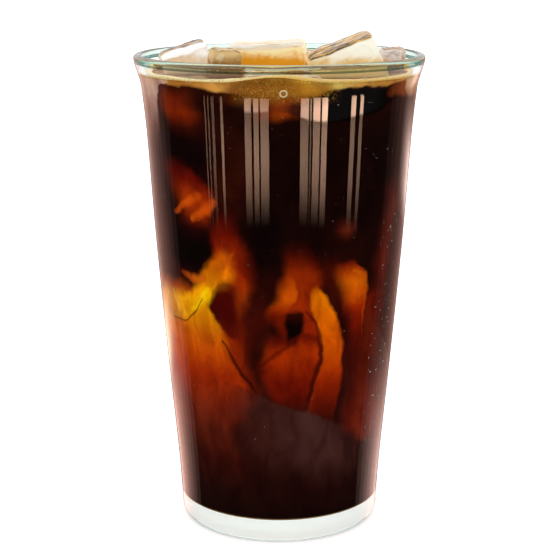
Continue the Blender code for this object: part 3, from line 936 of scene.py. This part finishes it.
def iceMaterial(name, centre, turns, looks):
    darkTop, lightTop, darkShare, topCover, lowSide, highSide, sideCover, stripesFrom = looks
    web = newMaterial(name)
    place = web.place()
    axes = Euler([math.radians(a) for a in turns]).to_matrix().transposed()
    own = [web.vector("DOT_PRODUCT", place, tuple(axis)) - axis.dot(Vector(centre)) for axis in axes]
    drawn = {i: way * size for i, (way, size) in enumerate(zip(own, iceLooks["grain"]))}
    grain = web.node("ShaderNodeCombineXYZ", drawn)
    stripes = web.noise(grain, 1.0, 4.0, 0.62, 0.9)
    cloud = web.noise(web.vector("ADD", place, centre), 0.22, 3.0, 0.6)
    # painted reflections of the coffee: the dark and gold stripes on the top faces
    light = web.fade(stripes, *(darkShare + more for more in iceLooks["stripeEdge"]))
    top = web.mix(light, tone(*darkTop), tone(*lightTop))
    height = web.vector("DOT_PRODUCT", place, (0, 0, 1))
    # painted light: the sides turn lighter towards the top
    upwards = web.fade(height + cloud * 6.0 + stripes * 3.0, *iceLooks["sideLight"])
    sides = web.mix(upwards, tone(*lowSide), tone(*highSide))
    striped = web.fade(own[1], *(stripesFrom + more for more in iceLooks["stripesReach"]))
    top = web.mix(striped, tone(*highSide), top)
    facing = web.vector("DOT_PRODUCT", web.node("ShaderNodeNewGeometry").pick("Normal"), tuple(axes[2]))
    upper = web.fade(facing, *iceLooks["upperFaces"])
    sunk = web.fade(height, *iceLooks["sunkBelow"])
    paint = web.mix(sunk, web.mix(upper, sides, top), tone(*iceLooks["sunk"]))
    cover = web.maths("MAXIMUM", web.fade(upper, 0.0, 1.0, sideCover, topCover), sunk * iceLooks["sunkCover"])
    bump = web.bump(0.25, 0.4, cloud)
    clear = web.principled({
        "Base Color": iceLooks["clear"], "Roughness": iceLooks["roughness"], "IOR": iceLooks["bend"],
        "Transmission Weight": 1.0, "Normal": bump})
    milky = web.coat(paint, iceLooks["bodyShare"], iceLooks["glowShare"], {
        "Roughness": iceLooks["milkyRoughness"], "IOR": iceLooks["bend"], "Normal": bump})
    return finished(web, web.node("ShaderNodeMixShader", {0: cover, 1: clear, 2: milky}))


for name, (centre, halfSizes, turns) in iceBlocks.items():
    looks = iceLooks["faces"].get(name, iceLooks["hidden"])
    block = meshObject(name + "_clear", iceMesh(name, centre, halfSizes, turns),
                       iceMaterial(name + " melt", centre, turns, looks))
    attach(block, "root")
    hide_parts(name)
print("ice:", len(iceBlocks), "blocks")


# ---- froth that rings the surface where it meets the wall

frothLooks = {
    "low": (222, 160, 58),
    "high": (255, 232, 168),
    "highFrom": (143.2, 144.4),
    "golden": (236, 180, 66),
    "goldenShare": 0.75,
    "goldenFrom": (-16.0, -6.0),
    "glowShare": 0.4,
    "intoWall": 0.06,
    "reach": 2.0,
    "rise": 0.62,
    "level": 143.1,
    "swellShare": 0.9,
    # slow waves round the ring and fine ones: radius of the circle and height at which noise is read
    "waves": ((3.0, 4.0), (11.0, 9.0)),
    # what both kinds of wave do to its width, to its height and, the slow ones, to its level
    "wander": 1.4,
    "inwards": (0.9, 0.5),
    "thicker": (0.45, 0.25),
    "lift": 0.25,
}


def frothMaterial():
    web = newMaterial("cream froth")
    place = web.place()
    xyz = web.parts(place)
    low, high, golden = (tone(*frothLooks[name]) for name in ("low", "high", "golden"))
    cloud = web.noise(place, 0.9, 3.0, 0.6)
    canvas = web.mix(web.fade(xyz.pick("Z") + cloud * 1.4, *frothLooks["highFrom"]), low, high)
    canvas = web.mix(web.fade(xyz, *frothLooks["goldenFrom"]) * frothLooks["goldenShare"], canvas, golden)
    return finished(web, web.coat(canvas, 1.0, frothLooks["glowShare"], {
        "Roughness": 0.45, "Normal": web.bump(0.5, 0.2, web.noise(place, 2.5))}))


def frothRing():
    reach, rise, level, intoWall = (frothLooks[name] for name in ("reach", "rise", "level", "intoWall"))
    edge = innerRadius(drink["level"] + 1.0) + intoWall
    angles = [math.tau * k / 24 for k in range(25)]
    profile = [(edge - reach / 2 + math.cos(a) * reach / 2, level + math.sin(a) * rise) for a in angles]
    piece = turned("froth_ring", profile, frothMaterial(), 240)
    for vertex in piece.data.vertices:
        x, y, z = vertex.co / mm
        azimuth = math.atan2(x, -y)
        waves = [noise.noise(Vector((math.cos(azimuth) * far, math.sin(azimuth) * far, up)))
                 for far, up in frothLooks["waves"]]
        width, thickness = (sum(wave * share for wave, share in zip(waves, frothLooks[name]))
                            for name in ("inwards", "thicker"))
        radius = math.hypot(x, y)
        share = (edge - radius) / reach
        inwards = max(share, 0.0) * width * frothLooks["wander"]
        z = level + (z - level) * (1.0 + thickness)
        z = z + swellAt(x, y) * frothLooks["swellShare"] + waves[0] * frothLooks["lift"]
        limit = innerRadius(z) + intoWall
        radius = min(radius + inwards, limit) if share > 0.02 else limit
        vertex.co = roundAxis(azimuth, radius, z)
    return facingOut(piece)


froth = frothRing()
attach(froth, "root")
print("froth:", len(froth.data.polygons), "faces")


# ---- bubbles and droplets, strewn over patches of the wall

beads = {
    # patch: where on the wall, azimuths, heights, beads per square centimetre, radius, its spread, look, slot
    "froth_beads": ("froth", (-179, 180), (142.6, 143.9), 80.0, 0.16, 0.1, "cream bubbles", "coffee"),
    "golden_beads": ("inside", (-18, 21), (137.4, 142.2), 70.0, 0.13, 0.08, "golden bubbles", "coffee"),
    "sunk_beads": ("inside", (-62, 62), (27, 137), 0.35, 0.12, 0.09, "dark bubbles", "coffee"),
    "dew_right": ("outside", (48, 66), (28, 100), 9.0, 0.13, 0.08, "dew", "clear_glass"),
    "dew_front": ("outside", (-38, 42), (92, 138), 3.2, 0.11, 0.07, "dew", "clear_glass"),
    "dew_all": ("outside", (-180, 180), (20, 140), 0.5, 0.12, 0.08, "dew", "clear_glass"),
}
beadPaints = {
    "cream bubbles": (248, 226, 168),
    "golden bubbles": (196, 142, 52),
    "dark bubbles": (92, 40, 14),
}
beadLooks = {"bodyShare": 0.5, "glow": 0.35, "roughness": 0.25, "dewBend": 1.33}
# the face of the wall that the beads follow, and how far outwards of it their middles lie
beadWalls = {"inside": (innerRadius, 0.12), "outside": (outerRadius, 0.02), "froth": (innerRadius, 0.1)}


def beadMaterial(name):
    web = newMaterial(name)
    if name in beadPaints:
        paint = tone(*beadPaints[name])
        return finished(web, web.principled({
            "Base Color": web.scaled(paint, beadLooks["bodyShare"]), "Roughness": beadLooks["roughness"],
            "Emission Color": paint, "Emission Strength": beadLooks["glow"]}))
    return finished(web, web.principled({
        "Base Color": (1.0, 1.0, 1.0), "Roughness": 0.0, "IOR": beadLooks["dewBend"],
        "Transmission Weight": 1.0}))


def wallPatch(name, azimuths, heights, radiusAt, outwards):
    mesh = bpy.data.meshes.new(name)
    columns, rows = spread(*azimuths, max(3, int((azimuths[1] - azimuths[0]) / 3))), spread(*heights, 12)
    points = [roundAxis(math.radians(a), radiusAt(z) + outwards, z) for z in rows for a in columns]
    wide = len(columns)
    faces = [(k * wide + i, k * wide + i + 1, (k + 1) * wide + i + 1, (k + 1) * wide + i)
             for k in range(len(rows) - 1) for i in range(wide - 1)]
    mesh.from_pydata(points, [], faces)
    return meshObject(name, mesh)


def strewTree():
    web, given = newTree("strewn beads", {
        "Geometry": "Geometry", "Density": "Float", "Size": "Float", "Spread": "Float", "Seed": "Int",
        "Material": "Material"}, "Geometry")
    points = web.node("GeometryNodeDistributePointsOnFaces", {
        "Mesh": given.pick("Geometry"), "Density": given.pick("Density"), "Seed": given.pick("Seed")})
    ball = web.node("GeometryNodeMeshIcoSphere", {"Radius": 1.0, "Subdivisions": 2})
    middle, more = given.pick("Size"), given.pick("Spread")
    size = web.node("FunctionNodeRandomValue", {
        2: middle - more, 3: middle + more, "Seed": given.pick("Seed")}, out=1, data_type="FLOAT")
    placed = web.node("GeometryNodeInstanceOnPoints", {
        "Points": points, "Instance": ball, "Rotation": points.pick("Rotation"), "Scale": size})
    solid = web.node("GeometryNodeRealizeInstances", {0: placed})
    rounded = web.node("GeometryNodeSetShadeSmooth", {0: solid})
    painted = web.node("GeometryNodeSetMaterial", {0: rounded, "Material": given.pick("Material")})
    web.node("NodeGroupOutput", {0: painted})
    return web.tree


strewing = strewTree()
for seed, (name, (wall, azimuths, heights, density, size, more, look, slot)) in enumerate(beads.items()):
    piece = wallPatch(name, azimuths, heights, *beadWalls[wall])
    if wall == "froth":
        for vertex in piece.data.vertices:
            vertex.co.z += swellAt(vertex.co.x / mm, vertex.co.y / mm) * frothLooks["swellShare"] * mm
    runTree(piece, strewing, {
        "Density": density * 1e4, "Size": size * mm, "Spread": more * mm, "Seed": 11 + seed,
        "Material": beadMaterial(look)})
    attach(piece, "root")
    print("beads:", name, len(piece.data.polygons), "faces")

ringForm = {"azimuth": 1.6, "height": 140.0, "ring": 0.95, "thick": 0.24, "outwards": 0.1, "steps": (32, 10)}


def ringMesh():  # a ring that lies flat on the wall and follows its flare
    height, thick = ringForm["height"], ringForm["thick"]
    around, across = ringForm["steps"]
    shape = bmesh.new()
    for k in range(around):
        for m in range(across):
            a, b = math.tau * k / around, math.tau * m / across
            far = ringForm["ring"] + math.cos(b) * thick
            flare = innerRadius(height + math.sin(a) * far) - innerRadius(height)
            shape.verts.new(Vector((math.cos(a) * far, math.sin(b) * thick - flare, math.sin(a) * far)) * mm)
    shape.verts.ensure_lookup_table()
    for k in range(around):
        for m in range(across):
            corners = [(k, m), (k + 1, m), (k + 1, m + 1), (k, m + 1)]
            shape.faces.new([shape.verts[i % around * across + j % across] for i, j in corners])
    bmesh.ops.recalc_face_normals(shape, faces=shape.faces[:])
    a = math.radians(ringForm["azimuth"])
    middle = roundAxis(a, innerRadius(height) + ringForm["outwards"], height)
    place = Matrix.Translation(middle) @ Matrix.Rotation(a, 4, "Z")
    bmesh.ops.transform(shape, matrix=place, verts=shape.verts[:])
    return meshFrom(shape, "ring_bubble")


ringBubble = meshObject("ring_bubble", ringMesh(), beadMaterial("cream bubbles"))
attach(ringBubble, "root")
print("ring bubble:", len(ringBubble.data.polygons), "faces")


# ---- studio: a white room, a pale floor, and lamps that only show in reflections

studio = {
    "room": (1.0, 1.0, 1.0),
    "belowHorizon": 0.018,
    "aboveHorizon": 0.9,
    "horizon": (-0.02, 0.06),
    "floorPaint": (0.9, 0.9, 0.9),
    "floorGlow": 0.45,
    "floorReach": 4.0,
    "floorBelow": 0.02,
    "distance": 450.0,
    "windowLow": -38.0,
    "windowHigh": 24.0,
    "windowGlow": 9.2,
    "windowTint": (1.0, 0.6, 0.4),
    "windowFade": 0.95,
    # panes by the azimuth at which they are seen on the tumbler: from, to, share of the glow
    "panes": [
        (-31.4, -30.9, 0.35), (-29.9, -29.4, 0.35), (-28.2, -27.0, 0.3), (-24.2, -23.1, 0.7),
        (-14.0, -11.3, 0.8), (-10.4, -8.3, 0.95), (-7.6, -4.2, 0.9),
        (8.5, 11.8, 0.75), (12.4, 12.9, 0.5), (13.6, 16.5, 0.9), (17.2, 19.6, 1.0),
        (30.0, 32.2, 0.5), (34.2, 35.8, 0.4),
    ],
    # what stands behind the tumbler at both sides: directions, heights, brightness, colour; each is a row
    # of lamps, and the share of the one nearest to the front and the rise from one to the next are given
    # for everything else and for walls
    "rowOf": 8,
    "nearShare": (0.16, 0.12),
    "shareRise": (0.2, 0.12),
    "lampFade": 0.4,
    "lampNearer": 12.0,
    "lampLeast": 0.12,
    "backdrops": {
        "left wall": (-104, -160, -270, 150, 1.04, (1.0, 0.56, 0.47)),
        "left lamp": (-122, -160, -96, -40, 1.8, (1.0, 0.84, 0.58)),
        "left table": (-104, -160, -225, -70, 1.25, (1.0, 0.54, 0.44)),
        "right wall": (104, 160, -270, 150, 0.66, (1.0, 0.5, 0.4)),
        "right window": (128, 160, 6, 66, 1.6, (1.0, 0.72, 0.64)),
        "right table": (100, 160, -300, -84, 1.45, (1.0, 0.64, 0.56)),
    },
}


def seenAt(azimuth, radius=41.0, distance=470.9):
    # where a reflection seen at this azimuth of the tumbler stands, as an azimuth round it
    a = math.radians(azimuth)
    view = math.atan2(radius * math.sin(a), distance - radius * math.cos(a))
    return 2 * a + view - math.asin(radius / studio["distance"] * math.sin(a + view))


def panel(name, start, end, low, high, glow, tint, fades=0.0, nearer=0.0):
    # an upright lamp seen only in mirrored rays; it fades over a share of its height at the bottom, and
    # one that stands nearer than the wall melts into it above as well
    reach = (studio["distance"] - nearer) * mm
    light = bpy.data.lights.new(name, "AREA")
    light.shape = "RECTANGLE"
    light.size = 2 * reach * math.sin((end - start) / 2)
    light.size_y = (high - low) * mm
    light.energy = glow * light.size * light.size_y * math.pi
    light.color = tint
    if fades:
        light.use_nodes = True
        web = Web(light.node_tree)
        upwards = web.parts(web.node("ShaderNodeNewGeometry").pick("Parametric")).pick("Y")
        strength = web.fade(upwards, 0.0, fades)
        if nearer:
            strength = web.maths("MINIMUM", strength, web.fade(upwards, 1.0, 1.0 - fades))
            strength = strength * (1 - studio["lampLeast"]) + studio["lampLeast"]
        web.node("ShaderNodeOutputLight", {0: web.node("ShaderNodeEmission", {"Strength": strength})})
    lamp = bpy.data.objects.new(name, light)
    bpy.context.scene.collection.objects.link(lamp)
    middle = (start + end) / 2
    lamp.location = (math.sin(middle) * reach, -math.cos(middle) * reach, (low + high) / 2 * mm)
    lamp.rotation_euler = (math.pi / 2, 0.0, middle)
    lamp.visible_camera = lamp.visible_diffuse = lamp.visible_transmission = False
    lamp.visible_volume_scatter = False


for number, (start, end, share) in enumerate(studio["panes"]):
    panel("window_%02d" % number, seenAt(start), seenAt(end), studio["windowLow"], studio["windowHigh"],
          studio["windowGlow"] * share, studio["windowTint"], studio["windowFade"])
for name, (start, end, low, high, glow, tint) in studio["backdrops"].items():
    wall = name.endswith("wall")
    melts = (0.0, 0.0) if wall else (studio["lampFade"], studio["lampNearer"])
    edges = [math.radians(a) for a in spread(start, end, studio["rowOf"] + 1)]
    for k, ends in enumerate(zip(edges, edges[1:])):
        share = min(1, studio["nearShare"][wall] + studio["shareRise"][wall] * k)
        panel("%s_%d" % (name, k), *sorted(ends), low, high, glow * share, tint, *melts)


def makeWorld():
    world = bpy.data.worlds.new("white room")
    bpy.context.scene.world = world
    world.use_nodes = True
    web = Web(world.node_tree)
    ray = web.node("ShaderNodeLightPath")
    upwards = web.parts(web.node("ShaderNodeTexCoord", out=0)).pick("Z")
    mirrored = ray.pick("Is Glossy Ray") * (1 - ray.pick("Is Transmission Ray"))
    upper = web.fade(upwards, *studio["horizon"], studio["belowHorizon"], studio["aboveHorizon"])
    strength = 1 + mirrored * (upper - 1)
    back = web.node("ShaderNodeBackground", {"Color": studio["room"], "Strength": strength})
    web.node("ShaderNodeOutputWorld", {"Surface": back})


def makeFloor():
    shape = bmesh.new()
    bmesh.ops.create_circle(shape, cap_ends=True, segments=96, radius=studio["floorReach"])
    web = newMaterial("white table")
    material = finished(web, web.principled({
        "Base Color": studio["floorPaint"], "Roughness": 0.6, "Specular IOR Level": 0.0,
        "Emission Color": (1.0, 1.0, 1.0), "Emission Strength": studio["floorGlow"]}))
    floor = meshObject("floor", meshFrom(shape, "floor"), material)
    floor.location.z = -studio["floorBelow"] * mm
    floor.visible_glossy = False


makeWorld()
makeFloor()
print("studio:", len(bpy.data.lights), "lights")


# ---- camera

lens = {
    "place": (0.0, -470.9, 185.3),
    "pitch": 13.02,
    "focal": 97.77,
    "sensor": 36.0,
    "shift": 0.0012,
    "nearest": 0.01,
    "farthest": 50.0,
}
camera = bpy.data.objects.new("camera", bpy.data.cameras.new("camera"))
bpy.context.scene.collection.objects.link(camera)
camera.data.lens, camera.data.sensor_width = lens["focal"], lens["sensor"]
camera.data.shift_x = lens["shift"]
camera.data.clip_start, camera.data.clip_end = lens["nearest"], lens["farthest"]
camera.location = Vector(lens["place"]) * mm
camera.rotation_euler = (math.radians(90 - lens["pitch"]), 0.0, 0.0)
bpy.context.scene.camera = camera
bpy.context.scene.view_settings.view_transform = "Standard"
print("camera set")
